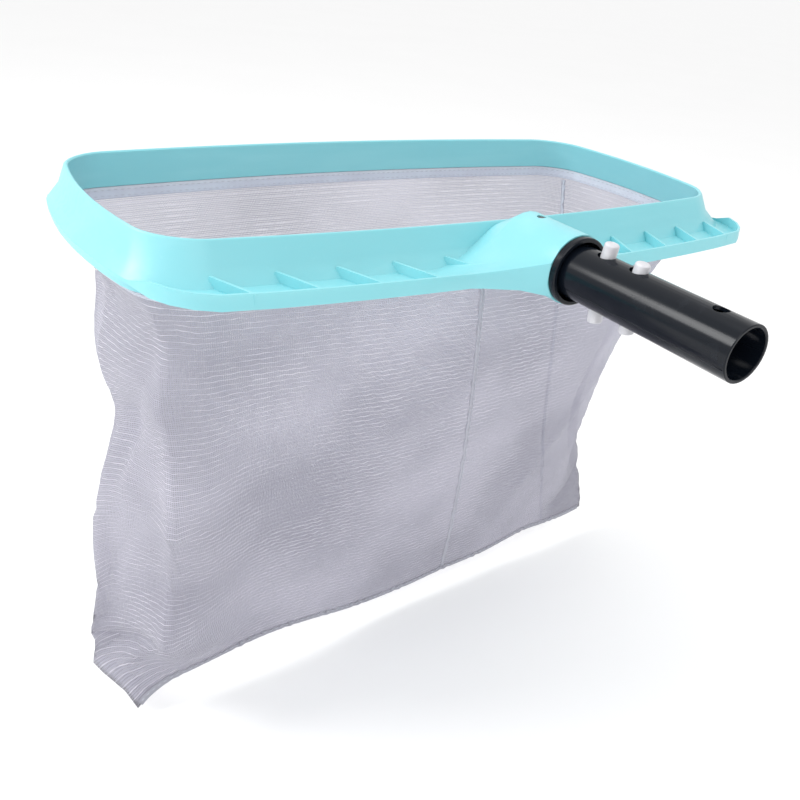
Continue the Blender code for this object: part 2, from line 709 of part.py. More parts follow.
def make_bottom_seam(material):
    """Bound seam that closes the bag's bottom."""
    rings = []
    half = SEAM_THICK / 2
    for i in range(SEAM_SECTIONS):
        share = SEAM_ENDS[0] + (SEAM_ENDS[1] - SEAM_ENDS[0]) * i / (SEAM_SECTIONS - 1)
        low = seam_point(share)
        top = Vector((low.x, low.y, BAG_TOP)).lerp(low, SEAM_START)
        centre = Vector((0, RIM_CENTRE_Y, 0))
        rings.append([top + centre + Vector((0, -half, 0)), top + centre + Vector((0, half, 0)),
                      low + centre + Vector((0, half, 0)), low + centre + Vector((0, -half, 0))])
    loft("bag_bottom_seam", rings, material)


def main():
    clear_scene()
    teal = plain_material("teal_plastic", TEAL, 0.42)
    nylon = plain_material("white_nylon", WHITE_NYLON, 0.45)
    black = plain_material("black_plastic", BLACK_PLASTIC, 0.28)
    cloth = plain_material("mesh_cloth", MESH_CLOTH, 0.85)
    hem = plain_material("hem_cloth", HEM_BLUE, 0.8)
    steel = plain_material("screw_steel", STEEL, 0.35, 1.0)

    make_rim(teal)
    make_tube(black)
    make_sleeve(black)
    make_lock_screw(steel)
    make_clip_bend(nylon)
    make_clip_arm("clip_arm_upper", 1, nylon)
    make_clip_arm("clip_arm_lower", -1, nylon)
    make_hem(hem)
    make_retainers(teal)
    make_retainer_screws(steel)
    make_bag(cloth)
    make_bottom_seam(hem)


main()
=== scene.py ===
import math

import bmesh
import bpy
import numpy as np
from mathutils import Matrix, Vector


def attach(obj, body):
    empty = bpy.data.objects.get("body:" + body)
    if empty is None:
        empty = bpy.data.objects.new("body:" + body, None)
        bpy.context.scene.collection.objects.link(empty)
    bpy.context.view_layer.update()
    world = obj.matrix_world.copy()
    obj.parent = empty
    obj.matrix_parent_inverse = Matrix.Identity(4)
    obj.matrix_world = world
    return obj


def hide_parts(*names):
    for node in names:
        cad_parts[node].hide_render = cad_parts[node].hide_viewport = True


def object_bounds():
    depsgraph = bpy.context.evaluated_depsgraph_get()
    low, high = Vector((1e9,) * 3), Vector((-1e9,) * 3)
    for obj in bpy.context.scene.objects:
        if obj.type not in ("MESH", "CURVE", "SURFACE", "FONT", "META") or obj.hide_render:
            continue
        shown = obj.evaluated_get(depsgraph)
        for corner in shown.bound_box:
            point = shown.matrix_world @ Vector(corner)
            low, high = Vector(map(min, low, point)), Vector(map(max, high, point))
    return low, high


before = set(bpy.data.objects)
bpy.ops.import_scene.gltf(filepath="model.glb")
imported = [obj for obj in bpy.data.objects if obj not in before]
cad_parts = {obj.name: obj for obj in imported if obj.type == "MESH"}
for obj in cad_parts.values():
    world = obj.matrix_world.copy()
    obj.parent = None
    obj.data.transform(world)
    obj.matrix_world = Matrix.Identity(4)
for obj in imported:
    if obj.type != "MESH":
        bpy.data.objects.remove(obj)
CAD_LOW, CAD_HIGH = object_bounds()

MM = 0.001
RIM_CENTRE_Y = 263.2

# The cloth's edge at the hem: half width, front and back depth, corner radius, three side bows.
HEM_OUTLINE = (204.5, 90.8, 81.5, 21.5, 13.0, 12.5, 12.5)
HEM_Z = -19.6
# Steps in a corner's arc and along a straight side; a gap longer than LONGEST_ARC_STEP is a side.
CORNER_STEPS = 16
SIDE_STEPS = 60
LONGEST_ARC_STEP = 10
# The columns start at the outermost point of the left side, close to this y.
SIDE_MIDDLE_Y = -5
MIDDLE_PULL = 0.02
# Steps of a smooth line between two of its points.
CURVE_STEPS = 24

# Grid of the bag: columns in each half of the rim, rows from the hem to the bottom seam.
HALF_COLUMNS = 120
ROWS = 58

# The bottom seam from the left ear to the right ear, relative to the rim's centre, in mm.
SEAM_POINTS = (
    (-213.4, -57.0, -314.3),
    (-205.0, -56.5, -306.5),
    (-191.0, -55.6, -300.3),
    (-170.0, -54.4, -298.0),
    (-125.0, -51.3, -294.5),
    (-90.0, -49.2, -296.5),
    (-47.0, -46.4, -302.5),
    (0.0, -43.3, -304.5),
    (42.0, -40.7, -302.8),
    (86.0, -37.8, -302.8),
    (131.0, -34.9, -297.5),
    (157.0, -33.3, -298.5),
    (184.0, -31.6, -299.5),
    (208.4, -30.0, -298.0),
)


def add_object(name, data):
    obj = bpy.data.objects.new(name, data)
    bpy.context.scene.collection.objects.link(obj)
    return obj


def closed_outline(shape):
    """Dense points of a rounded rectangle whose sides bow outwards, from the right-hand back corner."""
    half_x, front, back, radius, bow_side, bow_front, bow_back = shape
    corners = ((half_x, back, 0), (-half_x, back, 90), (-half_x, -front, 180), (half_x, -front, 270))
    points = []
    for x, y, start in corners:
        cx = x - math.copysign(radius, x)
        cy = y - math.copysign(radius, y)
        for i in range(CORNER_STEPS + 1):
            turn = math.radians(start + 90 * i / CORNER_STEPS)
            points.append((cx + radius * math.cos(turn), cy + radius * math.sin(turn)))
    dense = []
    for a, b in zip(points, points[1:] + points[:1]):
        count = SIDE_STEPS if math.dist(a, b) > LONGEST_ARC_STEP else 1
        for i in range(count):
            share = i / count
            dense.append((a[0] + (b[0] - a[0]) * share, a[1] + (b[1] - a[1]) * share))
    bowed = []
    for x, y in dense:
        depth, bow = (front, bow_front) if y < 0 else (back, bow_back)
        bowed.append((x * (1 + bow_side / half_x * (1 - (y / depth) ** 2)),
                      y * (1 + bow / depth * (1 - (x / half_x) ** 2))))
    return np.array(bowed)


def spaced(line, count):
    """count + 1 points evenly along a polyline."""
    steps = np.linalg.norm(np.diff(line, axis=0), axis=1)
    along = np.concatenate([[0], np.cumsum(steps)])
    at = np.linspace(0, along[-1], count + 1)
    return np.stack([np.interp(at, along, line[:, k]) for k in range(line.shape[1])], axis=1)


def smooth_line(points, count):
    """A Catmull-Rom curve through points, evenly spaced."""
    p = np.array(points, float)
    p = np.vstack([2 * p[0] - p[1], p, 2 * p[-1] - p[-2]])
    out = []
    for i in range(1, len(p) - 2):
        for t in np.linspace(0, 1, CURVE_STEPS, endpoint=False):
            a, b, c, d = p[i - 1], p[i], p[i + 1], p[i + 2]
            out.append(0.5 * (2 * b + (c - a) * t + (2 * a - 5 * b + 4 * c - d) * t ** 2
                              + (3 * b - a - 3 * c + d) * t ** 3))
    out.append(p[-2])
    return spaced(np.array(out), count)


def rim_columns():
    """The hem's points, from the middle of the left side along the front, then along the back."""
    loop = closed_outline(HEM_OUTLINE)
    left = int(np.argmin(loop[:, 0] + np.abs(loop[:, 1] - SIDE_MIDDLE_Y) * MIDDLE_PULL))
    loop = np.roll(loop, -left, axis=0)
    right = int(np.argmax(loop[:, 0] - np.abs(loop[:, 1] - SIDE_MIDDLE_Y) * MIDDLE_PULL))
    front = spaced(loop[: right + 1], HALF_COLUMNS)
    back = spaced(np.vstack([loop[right:], loop[:1]]), HALF_COLUMNS)
    return np.vstack([front[:-1], back[:-1]])


def there_and_back(line):
    """The bottom seam's points for the front's columns, and again in reverse for the back's."""
    count = 2 * HALF_COLUMNS
    return np.array([line[c if c <= HALF_COLUMNS else count - c] for c in range(count)])


def start_shape():
    """Grid of the bag, in mm, with straight lines from the hem to the bottom seam."""
    low = there_and_back(smooth_line(SEAM_POINTS, HALF_COLUMNS))
    high = np.column_stack([rim_columns(), np.full(len(low), HEM_Z)])
    shares = np.linspace(0, 1, ROWS + 1)[:, None, None]
    return high[None] * (1 - shares) + low[None] * shares


def bag_mesh(name, grid):
    """A pocket: rings of the grid, closed along its last row; its UV map is the flat cut in metres."""
    count = 2 * HALF_COLUMNS
    verts = [tuple(p) for row in grid[:-1] for p in row]
    base = len(verts)
    verts += [tuple(grid[-1][c]) for c in range(HALF_COLUMNS + 1)]

    def index(row, column):
        column %= count
        if row < ROWS:
            return row * count + column
        return base + (column if column <= HALF_COLUMNS else count - column)

    faces, cuts = [], []
    rim_length = float(np.linalg.norm(np.diff(np.vstack([grid[0], grid[0][:1]]), axis=0), axis=1).sum())
    depth = float(np.linalg.norm(np.diff(grid[:, HALF_COLUMNS // 2], axis=0), axis=1).sum())
    for r in range(ROWS):
        for c in range(count):
            ring = [index(r, c), index(r + 1, c), index(r + 1, c + 1), index(r, c + 1)]
            uv = [(c, r), (c, r + 1), (c + 1, r + 1), (c + 1, r)]
            kept = [i for i in range(4) if ring[i] not in ring[:i]]
            faces.append([ring[i] for i in kept])
            cuts.append([(uv[i][0] / count * rim_length * MM, uv[i][1] / ROWS * depth * MM)
                         for i in kept])
    lift = np.array((0, RIM_CENTRE_Y, 0))
    mesh = bpy.data.meshes.new(name)
    mesh.from_pydata([tuple((np.array(v) + lift) * MM) for v in verts], [], faces)
    layer = mesh.uv_layers.new(name="flat_cut")
    for poly, places in zip(mesh.polygons, cuts):
        for loop, place in zip(poly.loop_indices, places):
            layer.data[loop].uv = place
        poly.use_smooth = True
    return add_object(name, mesh)


# Where the hung cloth leaves the straight line from hem to seam. Each row has the place round the rim
# (0 left side, 0.25 front, 0.5 right side, 0.75 back), the place down the cloth, the reach of both,
# and the shift in mm.
SHIFTS = (
    (0.000, 0.32, 0.050, 0.09, (10.0, 2.0, 0.0)),
    (0.000, 0.60, 0.045, 0.16, (-11.0, 8.0, 0.0)),
    (0.000, 0.86, 0.035, 0.15, (-16.0, 20.0, 3.0)),
    (0.000, 0.92, 0.040, 0.06, (-5.0, 2.0, 0.0)),
    (0.450, 0.10, 0.050, 0.12, (-10.0, 20.0, 0.0)),
    (0.070, 0.50, 0.032, 0.24, (-10.0, -20.0, 0.0)),
    (0.058, 0.84, 0.026, 0.13, (-20.0, -24.0, 6.0)),
    (0.970, 0.07, 0.080, 0.10, (13.0, 0.0, 0.0)),
    (0.435, 0.32, 0.040, 0.27, (0.0, 21.0, 0.0)),
    (0.470, 0.58, 0.035, 0.20, (-8.0, 8.0, 0.0)),
    (0.505, 0.68, 0.045, 0.22, (-14.0, 3.0, 0.0)),
    (0.570, 0.40, 0.040, 0.25, (-8.0, -10.0, 0.0)),
    (0.930, 0.45, 0.040, 0.25, (6.0, -10.0, 0.0)),
)

# Creases: both ends as places round the rim and down the cloth, the width in mm and the push in mm.
CREASES = (
    ((0.500, 0.84), (0.412, 1.00), 5.0, -3.0),
    ((-0.030, 0.885), (0.050, 0.865), 6.0, -4.5),
    ((0.050, 0.855), (0.000, 1.00), 4.0, 3.0),
    ((0.068, 0.02), (0.064, 0.50), 7.0, 3.5),
    ((0.064, 0.50), (0.052, 0.85), 6.0, 3.5),
    ((0.020, 0.30), (0.012, 0.80), 8.0, -3.0),
    ((0.395, 0.38), (0.360, 0.72), 9.0, 2.5),
    ((0.430, 0.10), (0.455, 0.60), 7.0, 2.5),
    ((0.455, 0.25), (0.480, 0.80), 6.0, -3.0),
    ((0.072, 0.06), (0.020, 0.34), 9.0, -3.0),
    ((0.060, 0.22), (0.012, 0.52), 8.0, 2.5),
    ((0.050, 0.45), (0.010, 0.70), 7.0, -2.0),
    ((0.930, 0.05), (0.945, 0.80), 7.0, 3.0),
    ((0.570, 0.05), (0.555, 0.75), 7.0, 3.0),
)
# The way round the bag and the way down it, in mm, that a crease's places are measured on.
CREASE_LENGTH_ROUND = 1100.0
CREASE_LENGTH_DOWN = 300.0
# Shares of the depth over which the cloth comes free of the hem and of the bottom seam.
FREE_BELOW_HEM = 0.035
FREE_ABOVE_SEAM = 0.08

# Soft folds at random places: how many, the range of their push in mm, the least reach round the
# cloth and how much more it can be, the range of their lean, and their reach down the cloth.
SOFT_FOLDS = 18
SOFT_FOLD_SEED = 7
SOFT_FOLD_PUSH = 3.0
SOFT_FOLD_REACH = (0.012, 0.014)
SOFT_FOLD_LEAN = 0.05
SOFT_FOLD_DROP = 0.35
TINY = 1e-6


def away_round(places, at):
    return (places - at + 0.5) % 1 - 0.5


def settle_guess(grid):
    """Bring the straight pocket close to how the cloth hangs, with the creases that it shows."""
    count = 2 * HALF_COLUMNS
    rows = np.linspace(0, 1, ROWS + 1)[:, None]
    places = (np.arange(count) / count)[None]
    ends = np.clip(rows / FREE_BELOW_HEM, 0, 1) * np.clip((1 - rows) / FREE_ABOVE_SEAM, 0, 1)
    out = grid.copy()
    for at, down, reach, drop, shift in SHIFTS:
        weight = np.exp(-(away_round(places, at) / reach) ** 2 - ((rows - down) / drop) ** 2) * ends
        out += weight[..., None] * np.array(shift)
    across = np.roll(out, -1, axis=1) - np.roll(out, 1, axis=1)
    along = np.gradient(out, axis=0)
    normal = np.cross(across, along)
    normal /= np.maximum(np.linalg.norm(normal, axis=2, keepdims=True), TINY)
    if (normal * (out - out.mean(axis=1, keepdims=True))).sum() < 0:
        normal = -normal
    push = np.zeros((ROWS + 1, count))
    for (u0, t0), (u1, t1), width, strength in CREASES:
        run = np.array(((u1 - u0) * CREASE_LENGTH_ROUND, (t1 - t0) * CREASE_LENGTH_DOWN))
        dx = away_round(places, u0) * CREASE_LENGTH_ROUND
        dy = (rows - t0) * CREASE_LENGTH_DOWN
        share = np.clip((dx * run[0] + dy * run[1]) / (run @ run), 0, 1)
        near = np.hypot(dx - share * run[0], dy - share * run[1])
        push += strength * np.exp(-(near / width) ** 2)
    rng = np.random.default_rng(SOFT_FOLD_SEED)
    for _ in range(SOFT_FOLDS):
        at = rng.random()
        reach = SOFT_FOLD_REACH[0] + SOFT_FOLD_REACH[1] * rng.random()
        lean = SOFT_FOLD_LEAN * (rng.random() - 0.5)
        drop = rng.random()
        away = away_round(places, at + lean * rows)
        fall = np.exp(-(away / reach) ** 2 - ((rows - drop) / SOFT_FOLD_DROP) ** 2)
        push += SOFT_FOLD_PUSH * (rng.random() - 0.5) * fall
    return out + normal * (push * ends)[..., None]


# How firmly the simulation keeps each part of the cloth in its place, from 0 to 1.
HOLD_CLOTH = 0.5
HOLD_HEM = 1.0
HOLD_SEAM = 0.7
HOLD_EARS_MORE = 0.28
EAR_COLUMNS = 10
# The simulation's length in frames, the way down in the photo, and gravity in m/s2.
HANG_FRAMES = 32
HANG_WAY = Vector((0.0, -0.16, -1.0))
GRAVITY = 9.81


def hang(obj):
    """Simulate the cloth under its own weight, and keep the shape it settles in."""
    scene = bpy.context.scene
    count = 2 * HALF_COLUMNS
    pin = obj.vertex_groups.new(name="held")
    pin.add(list(range(ROWS * count)), HOLD_CLOTH, "REPLACE")
    pin.add(list(range(2 * count)), HOLD_HEM, "REPLACE")
    base = ROWS * count
    for c in range(HALF_COLUMNS + 1):
        ear = max(0.0, 1 - min(c, HALF_COLUMNS - c) / EAR_COLUMNS)
        pin.add([base + c], HOLD_SEAM + HOLD_EARS_MORE * ear, "REPLACE")
    cloth = obj.modifiers.new("Cloth", "CLOTH")
    settings = cloth.settings
    settings.quality = 8
    settings.mass = 0.12
    settings.tension_stiffness = 18
    settings.compression_stiffness = 12
    settings.shear_stiffness = 4
    settings.bending_stiffness = 0.08
    settings.tension_damping = 8
    settings.compression_damping = 8
    settings.shear_damping = 8
    settings.bending_damping = 0.8
    settings.air_damping = 3
    settings.vertex_group_mass = "held"
    settings.pin_stiffness = 1.0
    settings.shrink_min = -0.015
    cloth.collision_settings.use_collision = False
    cloth.collision_settings.use_self_collision = False
    scene.gravity = HANG_WAY.normalized() * GRAVITY
    cloth.point_cache.frame_start = 1
    cloth.point_cache.frame_end = HANG_FRAMES
    for number in range(1, HANG_FRAMES + 1):
        scene.frame_set(number)
    held = bpy.data.meshes.new_from_object(obj.evaluated_get(bpy.context.evaluated_depsgraph_get()))
    obj.modifiers.clear()
    obj.data = held
    obj.vertex_groups.clear()
    scene.frame_set(1)


def settled_rows(obj):
    """Points of the hung bag as rows of the grid, in mm; the bottom row is repeated for the back."""
    count = 2 * HALF_COLUMNS
    flat = np.zeros(len(obj.data.vertices) * 3)
    obj.data.vertices.foreach_get("co", flat)
    points = flat.reshape(-1, 3) / MM
    upper = points[: ROWS * count].reshape(ROWS, count, 3)
    return np.vstack([upper, there_and_back(points[ROWS * count:])[None]])


# Steps round and down the cloth that give the way out of it.
PROBE_ROUND = 0.01
PROBE_DOWN = 0.02


def unit(vector):
    return vector / max(np.linalg.norm(vector), TINY)


def on_cloth(rows, place, down):
    """The hung cloth's point at a place round the rim and down the cloth, and the way out of it."""
    count = 2 * HALF_COLUMNS

    def at(u, t):
        c, r = (u % 1) * count, min(max(t, 0), 1) * ROWS
        c0, r0 = int(c), min(int(r), ROWS - 1)
        fc, fr = c - c0, r - r0
        near = rows[r0, c0 % count] * (1 - fc) + rows[r0, (c0 + 1) % count] * fc
        far = rows[r0 + 1, c0 % count] * (1 - fc) + rows[r0 + 1, (c0 + 1) % count] * fc
        return near * (1 - fr) + far * fr

    across = at(place + PROBE_ROUND, down) - at(place - PROBE_ROUND, down)
    out = unit(np.cross(across, at(place, down + PROBE_DOWN) - at(place, down - PROBE_DOWN)))
    centre = rows[0].mean(axis=0)
    point = at(place, down)
    if (out[:2] * (point - centre)[:2]).sum() < 0:
        out = -out
    return point, out


def tube_mesh(name, rings, closed=False):
    """A closed body through rings of points, in mm, with a UV map in metres along and round it."""
    size = len(rings[0])
    verts = [tuple(np.array(p) * MM) for ring in rings for p in ring]
    faces, cuts = [], []
    steps = [float(np.linalg.norm(np.array(b[0]) - np.array(a[0]))) for a, b in zip(rings, rings[1:])]
    along = np.concatenate([[0], np.cumsum(steps)]) * MM
    round_it = np.concatenate([[0], np.cumsum([float(np.linalg.norm(np.array(rings[0][(i + 1) % size])
                                                                    - np.array(rings[0][i])))
                                               for i in range(size)])]) * MM
    last = len(rings) if closed else len(rings) - 1
    for r in range(last):
        a, b = r * size, ((r + 1) % len(rings)) * size
        far = along[r + 1] if r + 1 < len(rings) else along[-1] + steps[0] * MM
        for i in range(size):
            j = (i + 1) % size
            faces.append((a + i, b + i, b + j, a + j))
            cuts.append(((along[r], round_it[i]), (far, round_it[i]), (far, round_it[i + 1]),
                         (along[r], round_it[i + 1])))
    if not closed:
        faces.append(tuple(range(size)))
        cuts.append(tuple((0.0, round_it[i]) for i in range(size)))
        start = (len(rings) - 1) * size
        faces.append(tuple(start + i for i in reversed(range(size))))
        cuts.append(tuple((along[-1], round_it[i]) for i in reversed(range(size))))
    mesh = bpy.data.meshes.new(name)
    mesh.from_pydata(verts, [], faces)
    layer = mesh.uv_layers.new(name="flat_cut")
    for poly, places in zip(mesh.polygons, cuts):
        for loop, place in zip(poly.loop_indices, places):
            layer.data[loop].uv = place
        poly.use_smooth = True
    face_out(mesh)
    return add_object(name, mesh)


def face_out(mesh):
    work = bmesh.new()
    work.from_mesh(mesh)
    bmesh.ops.recalc_face_normals(work, faces=work.faces)
    work.to_mesh(mesh)
    work.free()


# The folded hem's section: inset from HEM_INSET and height, in mm. It follows the rim's foot.
HEM_SECTION = ((0.0, -12.4), (0.05, -16.0), (0.0, -18.9), (0.2, -19.8), (0.5, -20.05), (0.8, -19.8),
               (1.0, -18.9), (0.95, -16.0), (1.0, -12.4))
FOOT_OUTLINE = (210.0, 96.3, 87.0, 27.0, 13.0, 12.5, 12.5)
HEM_INSET = 5.0


def inset_outline(inset):
    half_x, front, back, radius, *bows = FOOT_OUTLINE
    return closed_outline((half_x - inset, front - inset, back - inset, radius - inset, *bows))


def make_hem_fold():
    """The net folded double round the rim, where the strips clamp it."""
    loops = [(inset_outline(HEM_INSET + inset), z) for inset, z in HEM_SECTION]
    rings = [[(*loop[i] + np.array((0, RIM_CENTRE_Y)), z) for loop, z in loops]
             for i in range(len(loops[0][0]))]
    return tube_mesh("hem_fold", rings, closed=True)


# Thread stitches in mm, and the shares of their length where they have a ring of points.
STITCH_LENGTH = 2.6
STITCH_PITCH = 4.4
STITCH_RADIUS = 0.28
STITCH_SIDES = 6
STITCH_RINGS = (0.0, 0.12, 0.5, 0.88, 1.0)
STITCH_END_SHARE = 0.25
STITCH_LIFT = 0.12
STITCH_ARCH = 0.2


def make_stitches(name, lines):
    """Rows of short thread stitches: each line is a list of points and the ways out of the cloth."""
    verts, faces = [], []
    for points, outs in lines:
        points = np.array(points)
        steps = np.linalg.norm(np.diff(points, axis=0), axis=1)
        along = np.concatenate([[0], np.cumsum(steps)])
        for start in np.arange(STITCH_PITCH / 2, along[-1] - STITCH_LENGTH, STITCH_PITCH):
            ends = [np.array([np.interp(d, along, points[:, k]) for k in range(3)])
                    for d in (start, start + STITCH_LENGTH)]
            out = np.array([np.interp(start, along, np.array(outs)[:, k]) for k in range(3)])
            way = ends[1] - ends[0]
            side, out = unit(np.cross(way, out)), unit(out)
            base = len(verts)
            for share in STITCH_RINGS:
                arch = math.sin(math.pi * share)
                swell = STITCH_END_SHARE + (1 - STITCH_END_SHARE) * arch
                middle = ends[0] + way * share + out * (STITCH_LIFT + STITCH_ARCH * arch)
                for k in range(STITCH_SIDES):
                    turn = 2 * math.pi * k / STITCH_SIDES
                    verts.append(tuple((middle + (side * math.cos(turn) + out * math.sin(turn))
                                        * STITCH_RADIUS * swell) * MM))
            for r in range(len(STITCH_RINGS) - 1):
                for k in range(STITCH_SIDES):
                    a, b = base + r * STITCH_SIDES, base + (r + 1) * STITCH_SIDES
                    faces.append((a + k, b + k, b + (k + 1) % STITCH_SIDES, a + (k + 1) % STITCH_SIDES))
            faces.append(tuple(base + k for k in range(STITCH_SIDES)))
            faces.append(tuple(base + (len(STITCH_RINGS) - 1) * STITCH_SIDES + k
                               for k in reversed(range(STITCH_SIDES))))
    mesh = bpy.data.meshes.new(name)
    mesh.from_pydata(verts, [], faces)
    for poly in mesh.polygons:
        poly.use_smooth = True
    face_out(mesh)
    return add_object(name, mesh)


# Lines of stitches on the hem: inset from the rim's foot, height, and which way they face.
HEM_STITCHES = ((HEM_INSET + 1.0, -14.2, -1), (HEM_INSET + 1.0, -18.0, -1), (HEM_INSET, -18.0, 1))


def hem_stitch_lines():
    lines = []
    for inset, z, side in HEM_STITCHES:
        loop = inset_outline(inset)
        points = [(x, y + RIM_CENTRE_Y, z) for x, y in np.vstack([loop, loop[:1]])]
        away = np.roll(loop, -1, axis=0) - np.roll(loop, 1, axis=0)
        outs = np.column_stack([away[:, 1], -away[:, 0], np.zeros(len(loop))]) * side
        outs /= np.linalg.norm(outs, axis=1, keepdims=True)
        lines.append((points, np.vstack([outs, outs[:1]])))
    return lines


# The sewn strips: how they stand off the cloth, as shares of half the width and mm outwards.
RIBBON_PROUD = 0.35
RIBBON_SECTION = ((-1, 0.02), (-0.85, RIBBON_PROUD), (0, RIBBON_PROUD * 1.2), (0.85, RIBBON_PROUD),
                  (1, 0.02), (0, -0.25))
RIBBON_STEPS = 64
RIBBON_STITCH_AT = 0.6


def points_and_ways(line):
    return [point for point, _ in line], [out for _, out in line]


def make_ribbon(name, rows, top, bottom, width):
    """A sewn strip that lies on the cloth between two places, and its two lines of stitches."""
    rings, left, right = [], [], []
    line = [on_cloth(rows, top[0] + (bottom[0] - top[0]) * i / RIBBON_STEPS,
                     top[1] + (bottom[1] - top[1]) * i / RIBBON_STEPS) for i in range(RIBBON_STEPS + 1)]
    for i, (point, out) in enumerate(line):
        way = line[min(i + 1, RIBBON_STEPS)][0] - line[max(i - 1, 0)][0]
        side = unit(np.cross(way, out))
        half = width / 2
        rings.append([point + side * a * half + out * b for a, b in RIBBON_SECTION])
        left.append((point - side * half * RIBBON_STITCH_AT + out * RIBBON_PROUD, out))
        right.append((point + side * half * RIBBON_STITCH_AT + out * RIBBON_PROUD, out))
    return tube_mesh(name, rings), [points_and_ways(left), points_and_ways(right)]


# The bottom seam's binding, in mm across it and up from its lower edge.
BINDING_SECTION = ((-0.75, -0.4), (-0.4, -0.85), (0.4, -0.85), (0.75, -0.4), (0.7, 2.6), (0.45, 3.0),
                   (-0.45, 3.0), (-0.7, 2.6))
BINDING_HALF = 0.75
BINDING_STITCH_RISE = 1.6


def make_binding(rows):
    """The doubled net along the bottom seam, and a line of stitches on each side of it."""
    low, above = rows[ROWS, : HALF_COLUMNS + 1], rows[ROWS - 1]
    count = 2 * HALF_COLUMNS
    rings, front, back = [], [], []
    for c in range(1, HALF_COLUMNS):
        way = low[c + 1] - low[c - 1]
        up = (above[c] + above[(count - c) % count]) / 2 - low[c]
        side = unit(np.cross(way, up))
        rise = unit(np.cross(side, way))
        if rise[2] < 0:
            rise = -rise
        rings.append([low[c] + side * a + rise * b for a, b in BINDING_SECTION])
        front.append((low[c] + side * BINDING_HALF + rise * BINDING_STITCH_RISE, side))
        back.append((low[c] - side * BINDING_HALF + rise * BINDING_STITCH_RISE, -side))
    return tube_mesh("bottom_binding", rings), [points_and_ways(front), points_and_ways(back)]


# The two lines where the tube's mould closed: half width, how proud they stand and how deep their
# foot lies in mm, their ends along the tube, and their places round it in degrees.
PARTING_WIDTH = 0.5
PARTING_PROUD = 0.18
PARTING_ROOT = -0.1
PARTING_CREST_SHARE = 0.4
PARTING_ENDS = (1.2, 104.0)
PARTING_RINGS = 24
PARTING_TURNS = (205, 25)
TUBE_RADIUS = 14.5


def make_parting_line(turn):
    """The faint raised line where the tube's mould closed, along one side of the tube."""
    out = np.array((math.cos(turn), 0.0, math.sin(turn)))
    side = np.array((-math.sin(turn), 0.0, math.cos(turn)))
    rings = []
    crest = PARTING_WIDTH * PARTING_CREST_SHARE
    section = ((-PARTING_WIDTH, PARTING_ROOT), (-crest, PARTING_PROUD), (crest, PARTING_PROUD),
               (PARTING_WIDTH, PARTING_ROOT))
    for y in np.linspace(*PARTING_ENDS, PARTING_RINGS):
        axis = np.array((0.0, y, 0.0))
        rings.append([axis + out * (TUBE_RADIUS + rise) + side * shift for shift, rise in section])
    return tube_mesh("tube_parting_line_" + ("left" if out[0] < 0 else "right"), rings)


def node_material(name):
    material = bpy.data.materials.new(name)
    material.use_nodes = True
    material.node_tree.nodes.clear()
    return material, material.node_tree


def put(tree, kind, links=(), **values):
    """Add a node, set its properties and sockets by name or number, and link sockets into it."""
    node = tree.nodes.new("ShaderNode" + kind)
    for key, value in values.items():
        setattr(node, key, value)
    for socket, source in links:
        if isinstance(source, bpy.types.NodeSocket):
            tree.links.new(source, node.inputs[socket])
        else:
            node.inputs[socket].default_value = source
    return node


def maths(tree, operation, *sources):
    return put(tree, "Math", list(enumerate(sources)), operation=operation).outputs[0]


def ramp(tree, value, low, high, to_low=0.0, to_high=1.0):
    """A smooth step of value from low to high."""
    node = put(tree, "MapRange", ((0, value), (1, low), (2, high), (3, to_low), (4, to_high)),
               interpolation_type="SMOOTHSTEP")
    return node.outputs[0]


def noise(tree, where, scale, detail=2.0, rough=0.5):
    node = put(tree, "TexNoise", (("Vector", where), ("Scale", scale), ("Detail", detail),
                                  ("Roughness", rough)))
    return node.outputs[0]


def stretched(tree, where, size):
    return put(tree, "VectorMath", ((0, where), (1, size)), operation="MULTIPLY").outputs[0]


def blend_colours(tree, share, first, second):
    node = put(tree, "Mix", ((0, share), (6, first), (7, second)), data_type="RGBA")
    return node.outputs[2]


def surface(tree, colour, rough, *more):
    """A principled shader; more sockets follow as pairs of name and value."""
    return put(tree, "BsdfPrincipled",
               (("Base Color", colour), ("Roughness", rough), *more)).outputs[0]


def bumps(tree, height, strength, distance):
    return put(tree, "Bump", (("Strength", strength), ("Distance", distance),
                              ("Height", height))).outputs[0]


def mix_shaders(tree, share, first, second):
    return put(tree, "MixShader", ((0, share), (1, first), (2, second))).outputs[0]


def finish_material(tree, shader):
    put(tree, "OutputMaterial", ((0, shader),))


def object_places(tree):
    return put(tree, "TexCoord").outputs["Object"]


# The teal moulding: its colour, a darker colour painted as shade into its deep corners, and that of flow
# marks and rubbed spots.
TEAL = (0.235, 0.600, 0.655, 1)
TEAL_PAINTED_SHADE = (0.120, 0.520, 0.570, 1)
TEAL_PALE = (0.320, 0.680, 0.725, 1)


